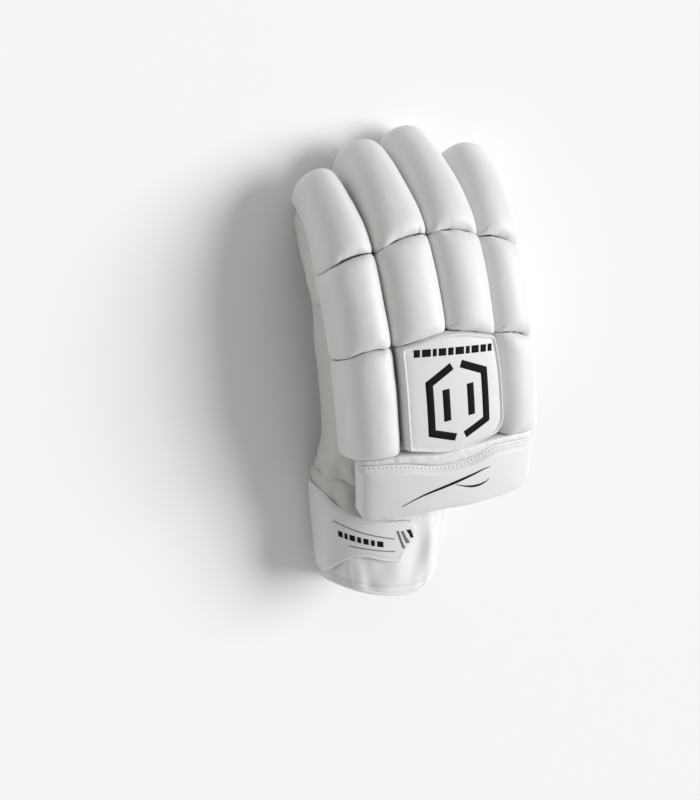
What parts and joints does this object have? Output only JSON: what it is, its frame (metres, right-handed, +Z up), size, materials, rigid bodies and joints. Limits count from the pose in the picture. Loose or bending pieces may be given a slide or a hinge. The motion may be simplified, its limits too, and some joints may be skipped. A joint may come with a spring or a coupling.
{
  "type": "cricket batting glove (left hand)",
  "caption": "White left-hand cricket batting glove with padded finger rolls, back badge, wrist guard, thumb stall and strapped wristband, lying palm down.",
  "frame": {"origin": "under the middle of the glove's bounding box, on the surface that it lies on", "axes": "+Y towards the fingertips, +X towards the index finger's side, +Z up, out of the back of the hand"},
  "size_m": [0.1622, 0.2606, 0.0758],
  "materials": {
    "roll_leather": "satin",
    "badge_leather": "satin",
    "guard_leather": "satin",
    "side_leather": "satin",
    "palm_leather": "matte",
    "gusset_mesh": "matte",
    "band_leather": "satin",
    "strap_leather": "satin"
  },
  "bodies": {
    "root": {"little_tip_roll": "roll_leather", "little_mid_roll": "roll_leather", "ring_tip_roll": "roll_leather", "ring_mid_roll": "roll_leather", "middle_tip_roll": "roll_leather", "middle_mid_roll": "roll_leather", "index_tip_roll": "roll_leather", "index_mid_roll": "roll_leather", "little_back_roll": "roll_leather", "index_back_roll": "roll_leather", "thumb_base_pad": "roll_leather", "thumb_tip_pad": "roll_leather", "back_badge": "badge_leather", "wrist_guard": "guard_leather", "guard_welt": "guard_leather", "back_and_sides": "side_leather", "palm": "palm_leather", "little_stall": "palm_leather", "ring_stall": "palm_leather", "middle_stall": "palm_leather", "index_stall": "palm_leather", "thumb_stall": "palm_leather", "side_gusset": "gusset_mesh", "wristband": "band_leather", "closing_strap": "strap_leather"}
  },
  "joints": []
}
